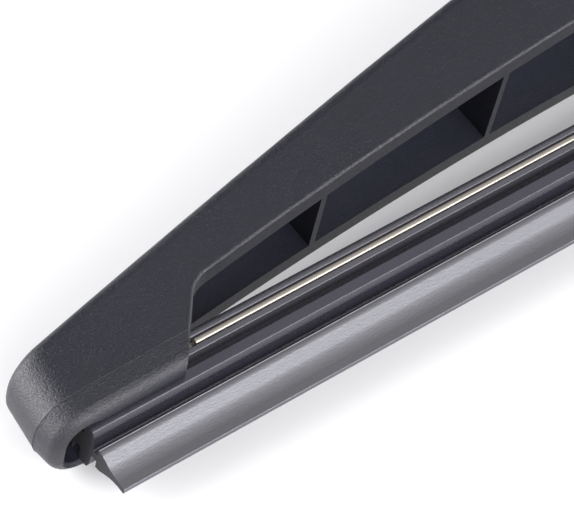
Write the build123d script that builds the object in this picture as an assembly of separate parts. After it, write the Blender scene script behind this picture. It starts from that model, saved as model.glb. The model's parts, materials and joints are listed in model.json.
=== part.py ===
"""Rear wiper blade with a one-piece moulded frame, lying on its side.

Sizes are in millimetres. Every piece is drawn in the blade's own axes: X along the blade, Y from the glass
towards the blade's back, Z across the blade, with the origin on the arm pivot. Heights are measured from the
tip of the wiping lip. The last step rolls the finished pieces about X, to the way the blade lies on a table.
"""

import os
from math import asin, atan2, degrees, hypot

from build123d import *

# Driving dimensions: overall
BLADE_LENGTH = 330.0
PIVOT_HEIGHT = 27.6
HUB_BACK_HEIGHT = 34.6
HUB_UNDER_HEIGHT = 21.5
HUB_UNDER_HALF_LENGTH = 43.0
HUB_HALF_WIDTH = 9.45

# Driving dimensions: moulded frame
NOSE_HALF_WIDTH = 5.05
NOSE_FLAT_HALF = 0.25
NOSE_BACK_HEIGHT = 17.0
NOSE_LEAN = 0.12
BACK_LINE_RISE = 0.1915
BACK_BOW_RADIUS = 2100.0
BACK_BLEND_RADIUS = 155.0
BACK_EDGE_RADIUS = 1.6
FLANK_BREAK = 65.0
FLANK_BLEND_RADIUS = 680.0
WALL = 2.5
ROOF = 2.3
RIB_THICKNESS = 0.9
RIB_PITCH = 28.5
RIBS_PER_SIDE = 4
FIRST_RIB = 44.4
EDGE_RADIUS = 0.4

# Driving dimensions: claws that hold the rubber
CLAW_CREASE_HEIGHT = 10.45
CLAW_BOTTOM_HEIGHT = 6.9
CLAW_LEAN = 0.35
CLAW_EDGE_RADIUS = 1.6
CLAW_FOOT = 17.1
CLAW_SLANT = 0.847
KNEE_HEIGHT = 15.25
KNEE_RADIUS = 5.0
MOUTH_LENGTH = 2.3
MOUTH_DEPTH = 3.4
MOUTH_STRAIGHT_HALF = 0.2
MOUTH_FLARE = 0.5
CLAW_CLEARANCE = 0.1

# Driving dimensions: rubber section, heights above the lip's tip
RUBBER_HEIGHT = 11.85
RUBBER_SETBACK = 4.4
HEAD_HALF_WIDTH = 3.2
HEAD_WEB_HALF = 0.95
TOP_FLANGE = 1.15
MID_FLANGE = 0.8
CLAW_GROOVE = 1.25
GROOVE_WEB_HALF = 1.4
BODY_HALF_WIDTH = 3.27
BODY_FLANGE = 1.35
NECK_HALF = 0.55
LIP_HEIGHT = 4.9
LIP_SHOULDER_HALF = 1.55
LIP_SHOULDER = 0.8
LIP_TIP_HALF = 0.38
LIP_TIP_LENGTH = 1.4
LIP_HOLLOW = 0.18
RUBBER_EDGE_RADIUS = 0.2

# Driving dimensions: steel rails
RAIL_THICKNESS = 0.8
RAIL_RECESS = 0.05
RAIL_SETBACK = 1.0
RAIL_NOTCH_START = 6.0
RAIL_NOTCH_END = 16.5
RAIL_NOTCH_DEPTH = 0.9
RAIL_EDGE_RADIUS = 0.33
RAIL_CLEARANCE = 0.1
NIB_LENGTH = 4.0

# Driving dimensions: arm pivot and hook-arm clip
WINDOW_HALF_LENGTH = 24.0
WINDOW_HALF_WIDTH = 6.2
WINDOW_RADIUS = 2.0
PIN_RADIUS = 2.0
PIN_RECESS = 0.5
PIN_CHAMFER = 0.4
PIN_CLEARANCE = 0.05
PIVOT_BOSS_RADIUS = 5.5
CLIP_SIDE_CLEARANCE = 0.3
ARM_WIDTH = 9.0
ARM_THICKNESS = 3.0
ARM_CLEARANCE = 0.1
CLIP_CORE_RADIUS = 4.5
CLIP_SHANK = 18.0
TONGUE_SLIT = 1.2
TONGUE_THICKNESS = 1.5
TONGUE_ROOT = 6.5
TONGUE_GAP = 0.4
LOCK_NUB = 1.2
NUB_SETBACK = 4.5
CLIP_END_RADIUS = 5.2
CLIP_CHEEK_MARGIN = 0.3

# Worked out from the sizes above
HALF_LENGTH = BLADE_LENGTH / 2
RAIL_SLOT = RAIL_THICKNESS + 2 * RAIL_CLEARANCE
CROWN_RADIUS = TOP_FLANGE - 1.5 * RUBBER_EDGE_RADIUS
RUBBER_HALF_LENGTH = HALF_LENGTH - RUBBER_SETBACK
REACH = 2 * HUB_BACK_HEIGHT


def height(above_tip):
    """Y of a height that is measured from the tip of the lip."""
    return above_tip - PIVOT_HEIGHT


# Levels of the rubber's section, from the top down
HEAD_TOP = RUBBER_HEIGHT
SLOT_TOP = HEAD_TOP - TOP_FLANGE
SLOT_BOTTOM = SLOT_TOP - RAIL_SLOT
GROOVE_TOP = SLOT_BOTTOM - MID_FLANGE
BODY_TOP = GROOVE_TOP - CLAW_GROOVE
BODY_BOTTOM = BODY_TOP - BODY_FLANGE
LIP_TOP = LIP_HEIGHT


def both_ends(end):
    """A solid drawn at the -X end, together with its mirror image at the +X end."""
    return end + mirror(end, about=Plane.YZ)


def flank_half_width(x, inset=0.0):
    """Half width of the frame's plan at the crease level, at a distance x from the pivot."""
    slope = (HUB_HALF_WIDTH - NOSE_HALF_WIDTH) / (HALF_LENGTH - FLANK_BREAK)
    return min(HUB_HALF_WIDTH, NOSE_HALF_WIDTH + slope * (HALF_LENGTH - x)) - inset


def plan_face(inset=0.0):
    """The frame's outline seen from the back, moved in by an inset."""
    end = HALF_LENGTH - inset
    nose = flank_half_width(end, inset)
    hub = HUB_HALF_WIDTH - inset
    outline = Polyline(
        (-end, -nose), (-FLANK_BREAK, -hub), (FLANK_BREAK, -hub), (end, -nose),
        (end, nose), (FLANK_BREAK, hub), (-FLANK_BREAK, hub), (-end, nose), close=True,
    )
    face = make_face(outline)
    corners = face.vertices().filter_by(lambda v: abs(v.X) > end - 1)
    face = fillet(corners, nose - NOSE_FLAT_HALF)
    breaks = face.vertices().filter_by(lambda v: abs(abs(v.X) - FLANK_BREAK) < 0.1)
    face = fillet(breaks, FLANK_BLEND_RADIUS)
    return Plane.XZ * face


def back_line(drop=0.0):
    """Ends of the bowed back for X below zero: the nose and the crest, where the hub's flat starts."""
    nose_height = height(NOSE_BACK_HEIGHT - drop)
    hub_height = height(HUB_BACK_HEIGHT - drop)
    run = (hub_height - nose_height) / BACK_LINE_RISE
    return (-HALF_LENGTH, nose_height), (-HALF_LENGTH + run, hub_height)


def under_back(drop, low):
    """The side view of all that lies between the bowed back, lowered by a drop, and a low level."""
    nose, crest = back_line(drop)
    outline = [
        Line((0, low), (-HALF_LENGTH, low)),
        Line((-HALF_LENGTH, low), nose),
        RadiusArc(nose, crest, BACK_BOW_RADIUS),
        Line(crest, (0, crest[1])),
        Line((0, crest[1]), (0, low)),
    ]
    face = make_face(outline)
    at_crest = face.vertices().sort_by_distance((crest[0], crest[1], 0))[0]
    return fillet(at_crest, BACK_BLEND_RADIUS)


def side_face():
    """The frame's outline seen from the side: back, arched underside and slanted inner ends of the claws."""
    bottom = height(CLAW_BOTTOM_HEIGHT)
    under = height(HUB_UNDER_HEIGHT)
    foot = (-HALF_LENGTH + CLAW_FOOT, bottom)
    knee = (foot[0] + CLAW_SLANT * (KNEE_HEIGHT - CLAW_BOTTOM_HEIGHT), height(KNEE_HEIGHT))
    arch_start = (-HUB_UNDER_HALF_LENGTH, under)
    arch = make_face([
        Line((0, bottom), foot),
        Line(foot, knee),
        TangentArc(arch_start, knee, tangent=(-1, 0)),
        Line(arch_start, (0, under)),
        Line((0, under), (0, bottom)),
    ])
    at_knee = arch.vertices().sort_by_distance((knee[0], knee[1], 0))[0]
    return under_back(0, bottom) - fillet(at_knee, KNEE_RADIUS)


def walls():
    """The upright walls of the -X half as a block: its nose reaches furthest at the claw's crease."""
    crease = height(CLAW_CREASE_HEIGHT)
    at_crease = Pos(0, crease, 0) * plan_face()
    upwards = Vector(NOSE_LEAN, 1, 0)
    rise = HUB_BACK_HEIGHT + ROOF - CLAW_CREASE_HEIGHT
    above = extrude(at_crease, rise * upwards.length, dir=upwards.normalized())
    low = height(0)
    claw_lean = CLAW_LEAN / (CLAW_CREASE_HEIGHT - CLAW_BOTTOM_HEIGHT)
    at_low = Pos(0, low, 0) * plan_face(inset=claw_lean * (crease - low))
    return above + loft([at_low, at_crease], ruled=True)


def rim(solid, is_in_group):
    """Edges where a group of the solid's faces ends, apart from those on the blade's middle plane."""
    edges = [edge for face in solid.faces() if is_in_group(face) for edge in face.edges()]
    single = [edge for edge in edges if sum(edge.is_same(other) for other in edges) == 1]
    return [edge for edge in single if abs(edge.center().X) > EDGE_RADIUS]


def outer_half():
    """The -X half of the frame before it is hollowed, with its rounded back, claw and lower edges."""
    half = extrude(side_face(), REACH, both=True) & walls()
    half = fillet(rim(half, lambda face: face.normal_at().Y > 0.5), BACK_EDGE_RADIUS)
    bottom = height(CLAW_BOTTOM_HEIGHT)
    foot = -HALF_LENGTH + CLAW_FOOT
    sole = [face for face in half.faces() if abs(face.center().Y - bottom) < 0.01][0]
    half = fillet([edge for edge in sole.edges() if edge.center().X < foot - 0.1], CLAW_EDGE_RADIUS)
    crease = height(CLAW_CREASE_HEIGHT)
    lower = rim(half, lambda face: face.normal_at().Y < -0.3 and face.center().X > foot)
    return fillet([edge for edge in lower if edge.center().Y > crease], EDGE_RADIUS)


def channel_half():
    """The hollow under the frame's back, from the claw's slanted inner end to the middle, between the ribs."""
    bottom = height(CLAW_BOTTOM_HEIGHT)
    top = height(HUB_BACK_HEIGHT)
    low = height(0)
    foot = -HALF_LENGTH + CLAW_FOOT
    claw = Polyline(
        (-BLADE_LENGTH, low), (foot + CLAW_SLANT * (low - bottom), low),
        (foot + CLAW_SLANT * (top - bottom), top), (-BLADE_LENGTH, top), close=True,
    )
    face = under_back(ROOF, low) - make_face(claw)
    hollow = extrude(face, REACH, both=True) & extrude(plan_face(inset=WALL), REACH, both=True)
    rib = Box(RIB_THICKNESS, 2 * REACH, 2 * REACH)
    for index in range(RIBS_PER_SIDE):
        hollow -= Pos(-HALF_LENGTH + FIRST_RIB + index * RIB_PITCH) * rib
    return hollow


def mouth_plan(wider=0.0):
    """Plan of the mouth at the rubber's end, made wider all round."""
    half_length = MOUTH_LENGTH + wider
    half_width = BODY_HALF_WIDTH + CLAW_CLEARANCE + wider
    return RectangleRounded(2 * half_length, 2 * half_width, half_length - MOUTH_STRAIGHT_HALF)


def slot_flare():
    """The slope that breaks the lower edge of the claw's slot and mouth."""
    bottom = height(CLAW_BOTTOM_HEIGHT)
    half_width = BODY_HALF_WIDTH + CLAW_CLEARANCE
    at_top = Plane((-RUBBER_HALF_LENGTH, bottom + MOUTH_FLARE, 0), x_dir=(1, 0, 0), z_dir=(0, 1, 0))
    at_sole = Plane((-RUBBER_HALF_LENGTH, bottom, 0), x_dir=(1, 0, 0), z_dir=(0, 1, 0))
    mouth = loft([at_sole * mouth_plan(MOUTH_FLARE), at_top * mouth_plan()], ruled=True)
    section = Polyline(
        (bottom, -half_width - MOUTH_FLARE), (bottom + MOUTH_FLARE, -half_width),
        (bottom + MOUTH_FLARE, half_width), (bottom, half_width + MOUTH_FLARE), close=True,
    )
    along = Pos(-RUBBER_HALF_LENGTH) * Plane.YZ * make_face(section)
    return mouth + extrude(along, CLAW_FOOT + REACH / 2)


def claw_slot():
    """The T-shaped way through the claw for the rubber's head, with the mouth below the rubber's end."""
    stop = -RUBBER_HALF_LENGTH - CLAW_CLEARANCE
    length = CLAW_FOOT + REACH / 2
    head_bottom = height(GROOVE_TOP - CLAW_CLEARANCE)
    head_top = height(HEAD_TOP + CLAW_CLEARANCE)
    body_top = height(BODY_TOP + CLAW_CLEARANCE)
    far_below = height(0)
    levels = [
        (head_bottom, head_top, HEAD_HALF_WIDTH + CLAW_CLEARANCE),
        (body_top, head_bottom, GROOVE_WEB_HALF + 3 * CLAW_CLEARANCE),
        (far_below, body_top, BODY_HALF_WIDTH + CLAW_CLEARANCE),
    ]
    slot = Part()
    for low, high, half_width in levels:
        slot += Pos(stop, low, 0) * Box(
            length, high - low, 2 * half_width, align=(Align.MIN, Align.MIN, Align.CENTER)
        )
    mouth_plane = Plane((-RUBBER_HALF_LENGTH, far_below, 0), x_dir=(1, 0, 0), z_dir=(0, 1, 0))
    mouth = extrude(mouth_plane * mouth_plan(), CLAW_BOTTOM_HEIGHT + MOUTH_DEPTH)
    return slot + mouth + slot_flare()


def lock_nibs():
    """Nibs inside the claw that sit in the notches of both rails and keep the rubber from sliding out."""
    outside = HEAD_HALF_WIDTH + 2 * CLAW_CLEARANCE
    inside = HEAD_HALF_WIDTH - RAIL_RECESS - RAIL_NOTCH_DEPTH + CLAW_CLEARANCE
    x = -RUBBER_HALF_LENGTH + RAIL_NOTCH_START + CLAW_CLEARANCE
    y = height((SLOT_TOP + SLOT_BOTTOM) / 2)
    nib = Pos(x, y, inside) * Box(
        NIB_LENGTH, RAIL_SLOT - 2 * CLAW_CLEARANCE, outside - inside, align=(Align.MIN, Align.CENTER, Align.MIN)
    )
    return nib + mirror(nib, about=Plane.XY)


def frame():
    """The whole moulding: both arms with their claws, and the hub with its arm window and pivot bosses."""
    arm = outer_half() - channel_half() - claw_slot()
    moulding = both_ends(arm + lock_nibs())
    window_plane = Plane((0, 0, 0), x_dir=(1, 0, 0), z_dir=(0, 1, 0))
    window_plan = RectangleRounded(2 * WINDOW_HALF_LENGTH, 2 * WINDOW_HALF_WIDTH, WINDOW_RADIUS)
    moulding -= extrude(window_plane * window_plan, REACH)
    boss = Pos(0, 0, WINDOW_HALF_WIDTH) * Cylinder(
        PIVOT_BOSS_RADIUS, WALL / 2, align=(Align.CENTER, Align.CENTER, Align.MIN)
    )
    moulding += boss + mirror(boss, about=Plane.XY)
    return moulding - Cylinder(PIN_RADIUS, 2 * REACH)


def rubber_section():
    """Half outline of the rubber for Z above zero, from the lip's tip up, mirrored into the whole section."""
    lip_shoulder = LIP_TOP - LIP_SHOULDER
    steps = [
        (LIP_TOP, LIP_SHOULDER_HALF), (LIP_TOP, NECK_HALF), (BODY_BOTTOM, NECK_HALF),
        (BODY_BOTTOM, BODY_HALF_WIDTH), (BODY_TOP, BODY_HALF_WIDTH), (BODY_TOP, GROOVE_WEB_HALF),
        (GROOVE_TOP, GROOVE_WEB_HALF), (GROOVE_TOP, HEAD_HALF_WIDTH), (SLOT_BOTTOM, HEAD_HALF_WIDTH),
        (SLOT_BOTTOM, HEAD_WEB_HALF), (SLOT_TOP, HEAD_WEB_HALF), (SLOT_TOP, HEAD_HALF_WIDTH),
        (HEAD_TOP, HEAD_HALF_WIDTH), (HEAD_TOP, 0),
    ]
    points = [(height(level), half_width) for level, half_width in steps]
    tip = height(0)
    flank_low = (height(LIP_TIP_LENGTH), LIP_TIP_HALF)
    flank_high = (height(lip_shoulder), LIP_SHOULDER_HALF)
    outline = [
        Polyline((tip, 0), (tip, LIP_TIP_HALF), flank_low),
        SagittaArc(flank_low, flank_high, -LIP_HOLLOW),
        Polyline(flank_high, *points),
        Line(points[-1], (tip, 0)),
    ]
    half = make_face(outline)
    edges = half.vertices().filter_by(lambda v: v.Y > LIP_SHOULDER_HALF - 0.01 and v.X < height(HEAD_TOP) - 0.01)
    half = fillet(edges, RUBBER_EDGE_RADIUS)
    crown = half.vertices().sort_by_distance((height(HEAD_TOP), HEAD_HALF_WIDTH, 0))[0]
    half = fillet(crown, CROWN_RADIUS)
    return half + mirror(half, about=Plane.XZ)


def wiper_rubber():
    """The rubber, one extrusion of its section along the blade."""
    return extrude(Plane.YZ * rubber_section(), RUBBER_HALF_LENGTH, both=True)


def right_rail():
    """The steel rail in the slot on the +Z side, with a notch near each end for the claw's nib."""
    inside = HEAD_WEB_HALF + RAIL_CLEARANCE
    outside = HEAD_HALF_WIDTH - RAIL_RECESS
    middle = height((SLOT_TOP + SLOT_BOTTOM) / 2)
    rail = Pos(0, middle, inside) * Box(
        2 * (RUBBER_HALF_LENGTH - RAIL_SETBACK), RAIL_THICKNESS, outside - inside,
        align=(Align.CENTER, Align.CENTER, Align.MIN),
    )
    outer_edges = rail.edges().filter_by(Axis.X).group_by(Axis.Z)[-1]
    rail = fillet(outer_edges, RAIL_EDGE_RADIUS)
    notch = Pos(-RUBBER_HALF_LENGTH + RAIL_NOTCH_START, middle, outside - RAIL_NOTCH_DEPTH) * Box(
        RAIL_NOTCH_END - RAIL_NOTCH_START, 2 * RAIL_THICKNESS, 2 * RAIL_NOTCH_DEPTH,
        align=(Align.MIN, Align.CENTER, Align.MIN),
    )
    return rail - both_ends(notch)


def pivot_pin():
    """The steel pin pressed through both cheeks of the hub, with its ends a little below the flanks."""
    pin = Cylinder(PIN_RADIUS, 2 * (HUB_HALF_WIDTH - PIN_RECESS))
    return chamfer(pin.edges().filter_by(GeomType.CIRCLE), PIN_CHAMFER)


def arm_clip():
    """The adapter that a hook arm wraps: core on the pivot pin, cheeks beside the arm, sprung lock tongue."""
    clip_half_width = WINDOW_HALF_WIDTH - CLIP_SIDE_CLEARANCE
    core_half_width = ARM_WIDTH / 2 + ARM_CLEARANCE
    core_plan = Circle(CLIP_CORE_RADIUS) + Rectangle(
        CLIP_SHANK, 2 * CLIP_CORE_RADIUS, align=(Align.MIN, Align.CENTER)
    )
    core = extrude(core_plan, core_half_width, both=True)
    cheek_radius = CLIP_CORE_RADIUS + ARM_THICKNESS + CLIP_CHEEK_MARGIN
    shank_end = Pos(CLIP_SHANK - CLIP_END_RADIUS) * Circle(CLIP_END_RADIUS)
    cheek_plan = make_hull((Circle(cheek_radius) + shank_end).edges())
    cheek = Pos(0, 0, core_half_width) * extrude(cheek_plan, clip_half_width - core_half_width)
    clip = core + cheek + mirror(cheek, about=Plane.XY)
    tongue_top = TONGUE_THICKNESS - CLIP_CORE_RADIUS
    tongue_length = CLIP_SHANK - TONGUE_ROOT
    slit = Pos(TONGUE_ROOT, tongue_top, 0) * Box(
        2 * tongue_length, TONGUE_SLIT, 2 * core_half_width, align=(Align.MIN, Align.MIN, Align.CENTER)
    )
    side_gap = Pos(TONGUE_ROOT, tongue_top, core_half_width) * Box(
        2 * tongue_length, 2 * TONGUE_THICKNESS, TONGUE_GAP, align=(Align.MIN, Align.CENTER, Align.MAX)
    )
    nub = Pos(CLIP_SHANK - NUB_SETBACK, -CLIP_CORE_RADIUS, 0) * Cylinder(LOCK_NUB, ARM_WIDTH / 2)
    clip = clip - slit - side_gap - mirror(side_gap, about=Plane.XY) + nub
    return clip - Cylinder(PIN_RADIUS + PIN_CLEARANCE, 2 * REACH)


def lie_angle():
    """Roll that brings the hub's lower edge and both claws' rounded lower edges down to one flat surface."""
    lean = CLAW_LEAN / (CLAW_CREASE_HEIGHT - CLAW_BOTTOM_HEIGHT)
    sole_half_width = flank_half_width(HALF_LENGTH - CLAW_FOOT) - CLAW_LEAN
    claw_centre = sole_half_width + CLAW_EDGE_RADIUS * (lean - hypot(1, lean))
    spread = HUB_HALF_WIDTH - EDGE_RADIUS - claw_centre
    rise = HUB_UNDER_HEIGHT + EDGE_RADIUS - CLAW_BOTTOM_HEIGHT - CLAW_EDGE_RADIUS
    return degrees(atan2(spread, rise) - asin((CLAW_EDGE_RADIUS - EDGE_RADIUS) / hypot(spread, rise)))


rail = right_rail()
pieces = {
    "frame": frame(),
    "wiper_rubber": wiper_rubber(),
    "right_rail": rail,
    "left_rail": mirror(rail, about=Plane.XY),
    "pivot_pin": pivot_pin(),
    "arm_clip": arm_clip(),
}

os.makedirs("parts", exist_ok=True)
for name, piece in pieces.items():
    lying = Rot(X=lie_angle()) * piece
    export_step(lying, f"parts/{name}.step")
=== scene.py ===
# %% [markdown]
# A rear wiper blade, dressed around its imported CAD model: the arched plastic frame, the rubber with its two
# steel rails, the pivot pin and the arm clip. The stiff pieces already have their true shapes, and Blender
# gives each the surface that the real one has. The rubber is drawn again, softer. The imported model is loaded
# first, because every piece sits where the CAD says, in metres.

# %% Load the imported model
import json
import math

import bpy
from mathutils import Matrix, Vector

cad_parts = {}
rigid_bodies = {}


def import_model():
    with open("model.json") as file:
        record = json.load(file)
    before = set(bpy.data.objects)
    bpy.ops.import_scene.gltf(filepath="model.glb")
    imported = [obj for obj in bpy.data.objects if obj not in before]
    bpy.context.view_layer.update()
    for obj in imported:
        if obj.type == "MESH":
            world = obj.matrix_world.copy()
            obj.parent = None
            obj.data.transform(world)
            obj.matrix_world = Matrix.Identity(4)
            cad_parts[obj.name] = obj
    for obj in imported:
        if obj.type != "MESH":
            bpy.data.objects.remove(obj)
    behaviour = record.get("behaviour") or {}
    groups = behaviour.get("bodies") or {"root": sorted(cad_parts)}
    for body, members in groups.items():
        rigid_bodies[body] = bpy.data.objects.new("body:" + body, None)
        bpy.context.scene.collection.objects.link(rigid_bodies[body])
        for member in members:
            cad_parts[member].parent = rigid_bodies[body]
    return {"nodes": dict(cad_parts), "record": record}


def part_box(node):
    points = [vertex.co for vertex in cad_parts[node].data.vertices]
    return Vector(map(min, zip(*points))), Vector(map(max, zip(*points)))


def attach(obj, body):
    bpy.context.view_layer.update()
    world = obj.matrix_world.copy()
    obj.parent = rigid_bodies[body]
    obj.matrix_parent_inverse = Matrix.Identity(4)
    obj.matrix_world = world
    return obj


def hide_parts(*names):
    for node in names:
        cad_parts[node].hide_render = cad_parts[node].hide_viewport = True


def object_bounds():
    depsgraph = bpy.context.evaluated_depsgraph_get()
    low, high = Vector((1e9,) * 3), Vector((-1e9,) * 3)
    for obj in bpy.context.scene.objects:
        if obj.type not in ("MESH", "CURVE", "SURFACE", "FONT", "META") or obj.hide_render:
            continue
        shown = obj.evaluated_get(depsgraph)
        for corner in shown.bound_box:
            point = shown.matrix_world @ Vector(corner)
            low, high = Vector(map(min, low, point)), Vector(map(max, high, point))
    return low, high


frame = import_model()
cad_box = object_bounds()
MM = 0.001
scene = bpy.context.scene
bpy.ops.object.select_all(action="DESELECT")
print("CAD nodes:", sorted(frame["nodes"]))
print("CAD box in mm:", [[round(c / MM, 2) for c in corner] for corner in cad_box])

# %% [markdown]
# The blade doesn't lie square on the table: it rolls about its long axis until the hub and both claws
# touch the surface. The clip's hinge runs across the blade, so its axis tells how far the blade is
# rolled, and from it follow the blade's own directions: along, towards its back, and across. Places that are
# given in these directions can be read off the real blade as it stands upright.

# %% The blade's own directions
hinge = frame["record"]["behaviour"]["joints"][0]
ACROSS = Vector(hinge["axis"]).normalized()
ALONG = Vector((1.0, 0.0, 0.0))
TO_BACK = ACROSS.cross(ALONG)
ROLL = math.atan2(TO_BACK.z, TO_BACK.y)


def from_blade(along, back, across):
    return along * ALONG + back * TO_BACK + across * ACROSS


print("rolled by", round(math.degrees(ROLL), 2), "degrees")

# %% [markdown]
# Colours are easier to choose as the hex values that a paint program shows, but shaders want linear
# light. One function turns the first into the second. Another adds a shader node: what is given for an
# input is either a plain value or the output of an earlier node, which is then linked. A third turns the size
# of a pattern in millimetres into the scale that a texture wants.

# %% Colours and nodes


def linear(hex_colour):
    channels = [int(hex_colour[i:i + 2], 16) / 255 for i in (1, 3, 5)]
    light = [c / 12.92 if c <= 0.04045 else ((c + 0.055) / 1.055) ** 2.4 for c in channels]
    return (*light, 1.0)


def add_node(tree, kind, inputs=None, **settings):
    node = tree.nodes.new(kind)
    for name, value in settings.items():
        setattr(node, name, value)
    for socket, value in (inputs or {}).items():
        if isinstance(value, bpy.types.NodeSocket):
            tree.links.new(value, node.inputs[socket])
        else:
            node.inputs[socket].default_value = value
    return node


def new_material(name):
    material = bpy.data.materials.new(name)
    material.use_nodes = True
    material.node_tree.nodes.clear()
    return material, material.node_tree


def per_metre(size_mm):
    return 1.0 / (size_mm * MM)


print("#808080 is", round(linear("#808080")[0], 3), "in linear light")

# %% [markdown]
# The frame is a glass-filled polyester, moulded in a tool whose walls were spark-eroded. That leaves a
# fine pebbled grain, about a quarter of a millimetre wide, which breaks up every highlight. Real bumps would
# take millions of faces, so a noise texture draws them. The plastic is black with a cold blue tone, and
# slightly cloudy where the melt flowed along the frame. A Mix node has its inputs once for each kind of data,
# under the same names, so the ones for colours go by their numbers.

# %% Grain and clouds of the polyester
MIX_SHARE = 0
MIX_FROM = 6
MIX_TO = 7
MIX_RESULT = 2
GRAIN_WIDTH = 0.23
FLOW_WIDTH = 14.0
grained_polyester, tree = new_material("grained_polyester")
place = add_node(tree, "ShaderNodeTexCoord")
pebbles = add_node(tree, "ShaderNodeTexNoise", {
    "Vector": place.outputs["Object"], "Scale": per_metre(GRAIN_WIDTH), "Detail": 3.0, "Roughness": 0.6,
    "Distortion": 0.8})
flow = add_node(tree, "ShaderNodeTexNoise", {
    "Vector": place.outputs["Object"], "Scale": per_metre(FLOW_WIDTH), "Detail": 3.0})
cloudy_black = add_node(tree, "ShaderNodeMix", {
    MIX_SHARE: flow.outputs["Fac"], MIX_FROM: linear("#16171f"), MIX_TO: linear("#1a1b24")},
    data_type="RGBA")
print("grain of", GRAIN_WIDTH, "mm on", grained_polyester.name)

# %% [markdown]
# The inner side walls get a paler tone than the outside. This is painted light, which stands in for the
# light that reaches into the channel. A point is on such a wall where it faces the blade's middle plane: its
# distance across, times how far it is turned across, is then below zero. A second material could be given to
# those faces one by one, but a mask needs no change to the mesh. The inputs of a Math node share one name, so
# they go by number too.

# %% Painted light on the inner walls
INSIDE_FROM = 2.0
INSIDE_EDGE = 0.5
blade_place = add_node(tree, "ShaderNodeMapping", {
    "Vector": place.outputs["Object"], "Rotation": (-ROLL, 0.0, 0.0)})
facing = add_node(tree, "ShaderNodeMapping", {
    "Vector": place.outputs["Normal"], "Rotation": (-ROLL, 0.0, 0.0)}, vector_type="NORMAL")
side = add_node(tree, "ShaderNodeSeparateXYZ", {"Vector": blade_place.outputs["Vector"]})
turned = add_node(tree, "ShaderNodeSeparateXYZ", {"Vector": facing.outputs["Vector"]})
outwards = add_node(tree, "ShaderNodeMath", {
    0: side.outputs["Z"], 1: turned.outputs["Z"]}, operation="MULTIPLY")
inside = add_node(tree, "ShaderNodeMapRange", {
    "Value": outwards.outputs["Value"], "From Min": -INSIDE_FROM * MM, "From Max": -INSIDE_EDGE * MM,
    "To Min": 1.0, "To Max": 0.0})
# Painted light: the inner walls are mixed to a paler tone, for the light that reaches into the channel.
black = add_node(tree, "ShaderNodeMix", {
    MIX_SHARE: inside.outputs["Result"], MIX_FROM: cloudy_black.outputs[MIX_RESULT],
    MIX_TO: linear("#2a2c37")}, data_type="RGBA")
print("inner walls from", INSIDE_EDGE, "mm beside the middle")

# %% [markdown]
# The pebbles stand out as relief, and their tops are a little duller than the valleys between them. A Bump
# node tilts only the shading, so the outline stays as the CAD has it. Noise nearly always stays between 0.3
# and 0.7, so that range is what gets stretched over the roughness.

# %% Skin of the polyester
NOISE_LOW = 0.3
NOISE_HIGH = 0.7
GRAIN_DEPTH = 0.095
POLYESTER_IOR = 1.57
dullness = add_node(tree, "ShaderNodeMapRange", {
    "Value": pebbles.outputs["Fac"], "From Min": NOISE_LOW, "From Max": NOISE_HIGH,
    "To Min": 0.31, "To Max": 0.45})
relief = add_node(tree, "ShaderNodeBump", {
    "Height": pebbles.outputs["Fac"], "Strength": 1.0, "Distance": GRAIN_DEPTH * MM})
skin = add_node(tree, "ShaderNodeBsdfPrincipled", {
    "Base Color": black.outputs[MIX_RESULT], "Roughness": dullness.outputs["Result"], "IOR": POLYESTER_IOR,
    "Normal": relief.outputs["Normal"]})
add_node(tree, "ShaderNodeOutputMaterial", {"Surface": skin.outputs["BSDF"]})
print("relief of", GRAIN_DEPTH, "mm on", grained_polyester.name)

# %% [markdown]
# The squeegee is extruded rubber. Its skin was drawn through a die, so it carries fine streaks along the
# blade. The wiping lip is coated with graphite so that it slips over glass, which makes it silvery and
# silky. Two materials could meet at the coat's edge, but one can hold both and let the place of a point tell
# its finish, so that no face has to end there. The coordinates are turned by the roll first, so that they
# follow the blade: X along it, Y towards its back and Z across. Real streaks are finer than this, but they
# wouldn't show.

# %% Streaks of the extruded rubber
STREAK_WIDTH = 0.15
STREAK_LENGTH = 0.6
extruded_rubber, tree = new_material("extruded_rubber_with_graphite_lip")
place = add_node(tree, "ShaderNodeTexCoord")
blade_place = add_node(tree, "ShaderNodeMapping", {
    "Vector": place.outputs["Object"], "Rotation": (-ROLL, 0.0, 0.0)})
split = add_node(tree, "ShaderNodeSeparateXYZ", {"Vector": blade_place.outputs["Vector"]})
drawn = add_node(tree, "ShaderNodeMapping", {
    "Vector": blade_place.outputs["Vector"],
    "Scale": (per_metre(STREAK_LENGTH), per_metre(STREAK_WIDTH), per_metre(STREAK_WIDTH))})
streaks = add_node(tree, "ShaderNodeTexNoise", {
    "Vector": drawn.outputs["Vector"], "Scale": 1.0, "Detail": 3.0, "Roughness": 0.55})
print("streaks of", STREAK_WIDTH, "mm on", extruded_rubber.name)

# %% [markdown]
# Three masks follow, each one where it holds and zero elsewhere. The coat covers the lip from its upper
# edge down. The head, which holds the rails, gets a greyer tone than the body below it: a painted highlight,
# for the light that its faces catch. The cut at both ends is bare black rubber.

# %% Masks for coat, painted highlight on the head, and cut
COAT_START = -22.7
COAT_EDGE = 0.02
HEAD_START = -19.2
CUT_MARGIN = 0.02
rubber_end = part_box("wiper_rubber")[1][0]
from_middle = add_node(tree, "ShaderNodeMath", {0: split.outputs["X"]}, operation="ABSOLUTE")
before_cut = add_node(tree, "ShaderNodeMath", {
    0: from_middle.outputs["Value"], 1: rubber_end - CUT_MARGIN * MM}, operation="LESS_THAN")
painted_highlight_on_head = add_node(tree, "ShaderNodeMath", {
    0: split.outputs["Y"], 1: HEAD_START * MM}, operation="GREATER_THAN")
below_edge = add_node(tree, "ShaderNodeMapRange", {
    "Value": split.outputs["Y"], "From Min": (COAT_START - COAT_EDGE) * MM, "From Max": COAT_START * MM,
    "To Min": 1.0, "To Max": 0.0})
coat = add_node(tree, "ShaderNodeMath", {
    0: below_edge.outputs["Result"], 1: before_cut.outputs["Value"]}, operation="MULTIPLY")
print("coat from", COAT_START, "mm down")

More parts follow.
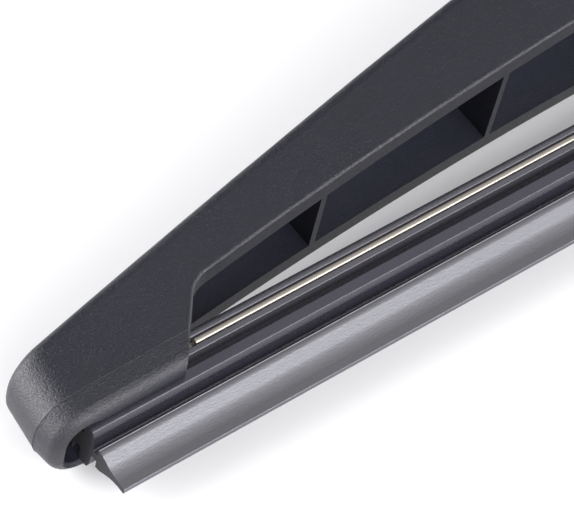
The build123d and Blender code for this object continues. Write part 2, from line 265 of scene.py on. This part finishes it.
# %% [markdown]
# Graphite reflects like a dull metal, so the coat's mask drives the metallic value as well as the tone. The
# plain skin is glossier than the coat, and its streaks make it glossier and duller by turns.

# %% Tones and gloss of the rubber
COAT_DULLNESS = 0.22
CUT_ROUGHNESS = 0.8
# Painted highlight: the head is mixed to a greyer tone than the body, for the light that its faces catch.
skin_tone_with_painted_highlight = add_node(tree, "ShaderNodeMix", {
    MIX_SHARE: painted_highlight_on_head.outputs["Value"], MIX_FROM: linear("#2a2931"), MIX_TO: linear("#403f44")},
    data_type="RGBA")
bare_tone = add_node(tree, "ShaderNodeMix", {
    MIX_SHARE: before_cut.outputs["Value"], MIX_FROM: linear("#0b0b0d"),
    MIX_TO: skin_tone_with_painted_highlight.outputs[MIX_RESULT]}, data_type="RGBA")
tone = add_node(tree, "ShaderNodeMix", {
    MIX_SHARE: coat.outputs["Value"], MIX_FROM: bare_tone.outputs[MIX_RESULT],
    MIX_TO: linear("#7e7e82")}, data_type="RGBA")
silk = add_node(tree, "ShaderNodeMapRange", {
    "Value": streaks.outputs["Fac"], "From Min": NOISE_LOW, "From Max": NOISE_HIGH,
    "To Min": 0.19, "To Max": 0.33})
coated_silk = add_node(tree, "ShaderNodeMath", {
    0: coat.outputs["Value"], 1: COAT_DULLNESS, 2: silk.outputs["Result"]}, operation="MULTIPLY_ADD")
gloss = add_node(tree, "ShaderNodeMapRange", {
    "Value": before_cut.outputs["Value"], "To Min": CUT_ROUGHNESS, "To Max": coated_silk.outputs["Value"]})
print("coat duller by", COAT_DULLNESS)

# %% [markdown]
# The streaks are also fine furrows along the blade. They are deepest on the lip, where the coat was brushed
# on, and hardly felt on the plain skin.

# %% Relief of the rubber
STREAK_DEPTH = 0.06
PLAIN_RELIEF = 0.15
COAT_RELIEF = 0.38
RUBBER_IOR = 1.68
COLD_SHEEN = (0.93, 0.92, 1.0, 1.0)
depth = add_node(tree, "ShaderNodeMapRange", {
    "Value": coat.outputs["Value"], "To Min": PLAIN_RELIEF, "To Max": COAT_RELIEF})
relief = add_node(tree, "ShaderNodeBump", {
    "Height": streaks.outputs["Fac"], "Strength": depth.outputs["Result"], "Distance": STREAK_DEPTH * MM})
skin = add_node(tree, "ShaderNodeBsdfPrincipled", {
    "Base Color": tone.outputs[MIX_RESULT], "Metallic": coat.outputs["Value"],
    "Roughness": gloss.outputs["Result"], "IOR": RUBBER_IOR, "Specular Tint": COLD_SHEEN,
    "Normal": relief.outputs["Normal"]})
add_node(tree, "ShaderNodeOutputMaterial", {"Surface": skin.outputs["BSDF"]})
print("furrows of", STREAK_DEPTH, "mm on", extruded_rubber.name)

# %% [markdown]
# The rails are cold-rolled spring steel, bright and a little warm, with rolling lines along them. The lines
# are a noise that is stretched along X. The roll leaves that axis alone, so these coordinates need no
# turning.

# %% Rolled spring steel
ROLLING_LINE = 0.05
ROLLING_LENGTH = 6.0
rolled_steel, tree = new_material("rolled_spring_steel")
place = add_node(tree, "ShaderNodeTexCoord")
along = add_node(tree, "ShaderNodeMapping", {
    "Vector": place.outputs["Object"],
    "Scale": (per_metre(ROLLING_LENGTH), per_metre(ROLLING_LINE), per_metre(ROLLING_LINE))})
lines = add_node(tree, "ShaderNodeTexNoise", {
    "Vector": along.outputs["Vector"], "Scale": 1.0, "Detail": 3.0})
polish = add_node(tree, "ShaderNodeMapRange", {
    "Value": lines.outputs["Fac"], "From Min": NOISE_LOW, "From Max": NOISE_HIGH,
    "To Min": 0.38, "To Max": 0.5})
skin = add_node(tree, "ShaderNodeBsdfPrincipled", {
    "Base Color": linear("#b9b3a9"), "Metallic": 1.0, "Roughness": polish.outputs["Result"]})
add_node(tree, "ShaderNodeOutputMaterial", {"Surface": skin.outputs["BSDF"]})
print("lines of", ROLLING_LINE, "mm on", rolled_steel.name)

# %% [markdown]
# The arm clip is moulded acetal: black, smooth, and a little waxy, so that it turns on its pin without
# grease. A quite even gloss would look like glass, so a faint haze varies it.

# %% Moulded acetal
HAZE_WIDTH = 1.2
ACETAL_IOR = 1.48
moulded_acetal, tree = new_material("moulded_acetal")
place = add_node(tree, "ShaderNodeTexCoord")
haze = add_node(tree, "ShaderNodeTexNoise", {
    "Vector": place.outputs["Object"], "Scale": per_metre(HAZE_WIDTH), "Detail": 4.0})
wax = add_node(tree, "ShaderNodeMapRange", {
    "Value": haze.outputs["Fac"], "From Min": NOISE_LOW, "From Max": NOISE_HIGH,
    "To Min": 0.3, "To Max": 0.42})
skin = add_node(tree, "ShaderNodeBsdfPrincipled", {
    "Base Color": linear("#1c1c1f"), "Roughness": wax.outputs["Result"], "IOR": ACETAL_IOR})
add_node(tree, "ShaderNodeOutputMaterial", {"Surface": skin.outputs["BSDF"]})
print("haze of", HAZE_WIDTH, "mm on", moulded_acetal.name)

# %% [markdown]
# The pin is ground steel: a bright metal, with the fine grit of the grinding wheel in its polish.

# %% Ground steel
GRIT_WIDTH = 0.08
ground_steel, tree = new_material("ground_steel")
place = add_node(tree, "ShaderNodeTexCoord")
grit = add_node(tree, "ShaderNodeTexNoise", {
    "Vector": place.outputs["Object"], "Scale": per_metre(GRIT_WIDTH), "Detail": 2.0})
polish = add_node(tree, "ShaderNodeMapRange", {
    "Value": grit.outputs["Fac"], "From Min": NOISE_LOW, "From Max": NOISE_HIGH,
    "To Min": 0.2, "To Max": 0.34})
skin = add_node(tree, "ShaderNodeBsdfPrincipled", {
    "Base Color": linear("#c9c8c6"), "Metallic": 1.0, "Roughness": polish.outputs["Result"]})
add_node(tree, "ShaderNodeOutputMaterial", {"Surface": skin.outputs["BSDF"]})
print("grit of", GRIT_WIDTH, "mm on", ground_steel.name)

# %% [markdown]
# Each CAD node but the rubber keeps its mesh, because its shape is true already, and gets its finish in place
# of the plain colour that it came with.

# %% Dress the CAD nodes
finishes = {
    "frame": grained_polyester,
    "right_rail": rolled_steel,
    "left_rail": rolled_steel,
    "pivot_pin": ground_steel,
    "arm_clip": moulded_acetal,
}
for name, finish in finishes.items():
    mesh = frame["nodes"][name].data
    mesh.materials.clear()
    mesh.materials.append(finish)
print("dressed", len(finishes), "nodes")

# %% [markdown]
# Rubber is soft, and its section shows that: the lip swells in one long curve from its tip to its shoulder,
# the edges that the die draws are crisp, and the underside of the body slopes down to the neck. The CAD
# node's mesh is loose triangles, which are hard to round, so the squeegee is drawn again in its place. One
# side of its section is listed from the tip up, as corners: height above the tip, half width, and the length
# that is rounded off, all in millimetres.

# %% Corners of the squeegee's section
TIP_LEVEL = -27.6
SIDE = {
    "tip": (0.0, 0.38, 0.07),
    "foot of the lip": (2.05, 0.38, 1.0),
    "shoulder": (4.3, 1.55, 0.3),
    "foot of the bead": (4.8, 1.55, 0.02),
    "edge of the bead": (4.84, 1.59, 0.025),
    "top of the bead": (4.9, 1.59, 0.03),
    "foot of the neck": (4.9, 0.55, 0.1),
    "top of the neck": (5.8, 0.55, 0.3),
    "underside of the body": (5.95, 2.75, 0.45),
    "lower edge of the body": (6.3, 3.27, 0.12),
    "upper edge of the body": (7.65, 3.27, 0.2),
    "foot of the groove": (7.65, 1.4, 0.0),
    "top of the groove": (8.9, 1.4, 0.0),
    "lower edge of the flange": (8.9, 3.2, 0.2),
    "upper edge of the flange": (9.7, 3.2, 0.2),
    "foot of the slot": (9.7, 0.95, 0.0),
    "top of the slot": (10.7, 0.95, 0.0),
    "lower edge of the crown": (10.7, 3.2, 0.2),
    "upper edge of the crown": (11.85, 3.2, 0.85),
}


def section_point(height, half_width):
    return from_blade(-rubber_end, (TIP_LEVEL + height) * MM, half_width * MM)


near_side = [section_point(height, half_width) for height, half_width, rounding in SIDE.values()]
far_side = [section_point(height, -half_width) for height, half_width, rounding in SIDE.values()]
outline = near_side + far_side[::-1]
print("section of", len(outline), "corners")

# %% [markdown]
# A small plane is merged to one point, which is put on the first corner and extruded from corner to corner.
# The line is closed and filled. A curve could trace it too, but this is a mesh at once, ready for rounding.

# %% The squeegee's section
bpy.ops.object.select_all(action="DESELECT")
bpy.ops.mesh.primitive_plane_add(size=MM)
squeegee = bpy.context.object
squeegee.name = "squeegee"
bpy.ops.object.mode_set(mode="EDIT")
bpy.ops.mesh.select_all(action="SELECT")
bpy.ops.mesh.merge(type="CENTER")
bpy.ops.transform.translate(value=outline[0])
for corner, next_corner in zip(outline, outline[1:]):
    bpy.ops.mesh.extrude_region_move(TRANSFORM_OT_translate={"value": next_corner - corner})
bpy.ops.mesh.select_all(action="SELECT")
bpy.ops.mesh.edge_face_add()
print("face of", len(outline), "corners")

# %% [markdown]
# Each corner is rounded as the list says, on both sides at once. That is easiest while the section is flat,
# because a corner is then one point and not a long edge. The inner corners of the slots and of the claw
# grooves stay sharp.

# %% Rounded corners
SAME_PLACE = 0.001
ROUNDING_STEPS = 8
for height, half_width, rounding in SIDE.values():
    bpy.ops.mesh.select_all(action="DESELECT")
    bpy.ops.object.mode_set(mode="OBJECT")
    pair = (section_point(height, half_width), section_point(height, -half_width))
    for vertex in squeegee.data.vertices:
        vertex.select = min((vertex.co - corner).length for corner in pair) < SAME_PLACE * MM
    bpy.ops.object.mode_set(mode="EDIT")
    if rounding > 0:
        bpy.ops.mesh.bevel(offset=rounding * MM, segments=ROUNDING_STEPS, affect="VERTICES")
bpy.ops.object.mode_set(mode="OBJECT")
print("rounded to", len(squeegee.data.vertices), "points")

# %% [markdown]
# The section is drawn out to the rubber's length, as the die does it, and takes the place of its CAD node.
# Weighted normals keep its flat faces looking flat beside their small roundings.

# %% The squeegee's length
SMOOTH_BELOW = 35
bpy.ops.object.mode_set(mode="EDIT")
bpy.ops.mesh.select_all(action="SELECT")
bpy.ops.mesh.extrude_region_move(TRANSFORM_OT_translate={"value": 2 * rubber_end * ALONG})
bpy.ops.mesh.select_all(action="SELECT")
bpy.ops.mesh.normals_make_consistent(inside=False)
bpy.ops.object.mode_set(mode="OBJECT")
bpy.ops.object.shade_smooth_by_angle(angle=math.radians(SMOOTH_BELOW))
bpy.ops.object.modifier_add(type="WEIGHTED_NORMAL")
squeegee.modifiers[-1].keep_sharp = True
bpy.ops.object.modifier_apply(modifier=squeegee.modifiers[-1].name)
squeegee.data.materials.append(extruded_rubber)
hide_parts("wiper_rubber")
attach(squeegee, "blade")
print("squeegee of", len(squeegee.data.polygons), "faces")

# %% [markdown]
# The two halves of the moulding tool meet at the crease of each claw. Molten plastic creeps a little way
# into that joint and leaves a hair-thin ridge round the nose and along both flanks. It follows the frame
# exactly, so it is cut from a copy of the frame's own mesh: the copy is merged and bisected at the crease,
# only the outline on the outside of both claws is kept, and that line becomes a curve with a small round
# section.

# %% The parting line's outline
CREASE = -17.15
CREASE_TOLERANCE = 0.005
MERGE_DISTANCE = 0.001
POCKET_HALF_WIDTH = 4.2
POCKET_END = 162.0
RIDGE_START = 145.36
bpy.ops.object.select_all(action="DESELECT")
frame["nodes"]["frame"].select_set(True)
bpy.context.view_layer.objects.active = frame["nodes"]["frame"]
bpy.ops.object.duplicate()
parting_line = bpy.context.object
parting_line.name = "parting_line"
bpy.ops.object.parent_clear(type="CLEAR_KEEP_TRANSFORM")
bpy.ops.object.mode_set(mode="EDIT")
bpy.ops.mesh.select_all(action="SELECT")
bpy.ops.mesh.remove_doubles(threshold=MERGE_DISTANCE * MM)
bpy.ops.mesh.bisect(plane_co=MM * from_blade(0, CREASE, 0), plane_no=TO_BACK)
bpy.ops.mesh.select_all(action="DESELECT")
bpy.ops.object.mode_set(mode="OBJECT")
for vertex in parting_line.data.vertices:
    off_crease = abs(vertex.co.dot(TO_BACK) / MM - CREASE) > CREASE_TOLERANCE
    across = abs(vertex.co.dot(ACROSS)) / MM
    along = abs(vertex.co.x) / MM
    in_pocket = across < POCKET_HALF_WIDTH and along < POCKET_END
    vertex.select = off_crease or in_pocket or along < RIDGE_START
bpy.ops.object.mode_set(mode="EDIT")
bpy.ops.mesh.delete(type="VERT")
bpy.ops.object.mode_set(mode="OBJECT")
print("outline of", len(parting_line.data.edges), "edges")

# %% [markdown]
# On the real moulding this ridge is about a tenth of a millimetre wide, just enough to catch the light.

# %% The parting line's ridge
RIDGE_RADIUS = 0.05
RIDGE_ROUNDNESS = 2
parting_line.data.materials.clear()
bpy.ops.object.convert(target="CURVE")
parting_line = bpy.context.object
parting_line.data.bevel_depth = RIDGE_RADIUS * MM
parting_line.data.bevel_resolution = RIDGE_ROUNDNESS
parting_line.data.use_fill_caps = True
bpy.ops.object.convert(target="MESH")
parting_line = bpy.context.object
bpy.ops.object.shade_smooth()
parting_line.data.materials.append(grained_polyester)
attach(parting_line, "blade")
print("ridge of", len(parting_line.data.polygons), "faces")

# %% [markdown]
# The table is a plain pale sheet at the height of the blade's lowest point. It glows a little, as a sheet
# does that is lit from below, so that it stays nearly white around the blade.

# %% Table
TABLE_SIZE = 4.0
TABLE_GREY = (0.6, 0.6, 0.6, 1.0)
GLOW = 0.27
GLOW_COLOUR = (0.97, 0.975, 1.0, 1.0)
floor_level = cad_box[0][2]
bpy.ops.mesh.primitive_plane_add(size=TABLE_SIZE, location=(0.0, 0.0, floor_level))
table = bpy.context.object
table.name = "table"
bpy.ops.object.transform_apply(location=True)
pale_sheet, tree = new_material("pale_sheet")
skin = add_node(tree, "ShaderNodeBsdfPrincipled", {
    "Base Color": TABLE_GREY, "Roughness": 0.7, "Specular IOR Level": 0.2,
    "Emission Color": GLOW_COLOUR, "Emission Strength": GLOW})
add_node(tree, "ShaderNodeOutputMaterial", {"Surface": skin.outputs["BSDF"]})
table.data.materials.append(pale_sheet)
print("table at", round(floor_level / MM, 2), "mm")

# %% [markdown]
# The light is that of a product photograph, from four soft boxes. One behind the blade's end draws the
# rounding and the grain of its nose, one in front draws the silk of the lip, a long low one at the right
# draws the edges, and a weak one overhead lights the flank. The strength of a box is given as the
# brightness of its face, because that is what a sheen reflects.

# %% A soft box
SEEN_END = Vector((-0.13, -0.005, 0.0))
BOX_DISTANCE = 1.2
COLD_LIGHT = (0.985, 0.98, 1.0)


def softbox(name, azimuth, elevation, width, height, brightness):
    turn, rise = math.radians(azimuth), math.radians(elevation)
    towards = Vector((math.cos(turn) * math.cos(rise), math.sin(turn) * math.cos(rise), math.sin(rise)))
    bpy.ops.object.light_add(type="AREA", location=SEEN_END + BOX_DISTANCE * towards)
    lamp = bpy.context.object
    lamp.name = name
    lamp.rotation_euler = towards.to_track_quat("Z", "Y").to_euler()
    lamp.data.shape = "RECTANGLE"
    lamp.data.size = width
    lamp.data.size_y = height
    lamp.data.energy = math.pi * width * height * brightness
    lamp.data.color = COLD_LIGHT
    print(name, "gives", round(lamp.data.energy), "W")


print("boxes stand", BOX_DISTANCE, "m away")

# %% [markdown]
# Angles are in degrees: azimuth from the X axis, and elevation above the table. The room itself is dim, so
# that the boxes shape the light.

# %% Light
ROOM_BRIGHTNESS = 0.1
softbox("nose_box", azimuth=140, elevation=23, width=1.5, height=0.95, brightness=8.6)
softbox("lip_box", azimuth=-98, elevation=31, width=1.5, height=0.68, brightness=6.3)
softbox("side_box", azimuth=-40, elevation=12, width=2.2, height=0.45, brightness=5.2)
softbox("top_box", azimuth=-10, elevation=62, width=1.4, height=0.7, brightness=0.79)
world = bpy.data.worlds.new("bright_room")
scene.world = world
world.use_nodes = True
room = world.node_tree.nodes["Background"]
room.inputs["Color"].default_value = (*COLD_LIGHT, 1.0)
room.inputs["Strength"].default_value = ROOM_BRIGHTNESS
print("room at", ROOM_BRIGHTNESS)

# %% [markdown]
# The camera is a long lens, close to the end of the blade. Its three directions and its place come from
# matching the straight edges of the rubber, so it looks down at the table and along the blade.

# %% Camera
EYE = (-318.47, -173.81, 330.47)
TO_RIGHT = (0.7829, -0.6012, 0.1602)
TO_TOP = (0.4164, 0.6976, 0.5830)
SENSOR_WIDTH = 36.0
FOCAL_LENGTH = 233.4
NEAR_LIMIT = 0.01
eye = MM * from_blade(*EYE)
right = from_blade(*TO_RIGHT)
up = from_blade(*TO_TOP)
back = right.cross(up).normalized()
up = back.cross(right).normalized()
right = up.cross(back)
bpy.ops.object.camera_add()
camera = bpy.context.object
camera.name = "camera"
camera.matrix_world = Matrix.Translation(eye) @ Matrix((right, up, back)).transposed().to_4x4()
camera.data.sensor_width = SENSOR_WIDTH
camera.data.lens = FOCAL_LENGTH
camera.data.clip_start = NEAR_LIMIT
scene.camera = camera
scene.view_settings.view_transform = "Standard"
print("camera at", [round(c, 3) for c in eye], "m")
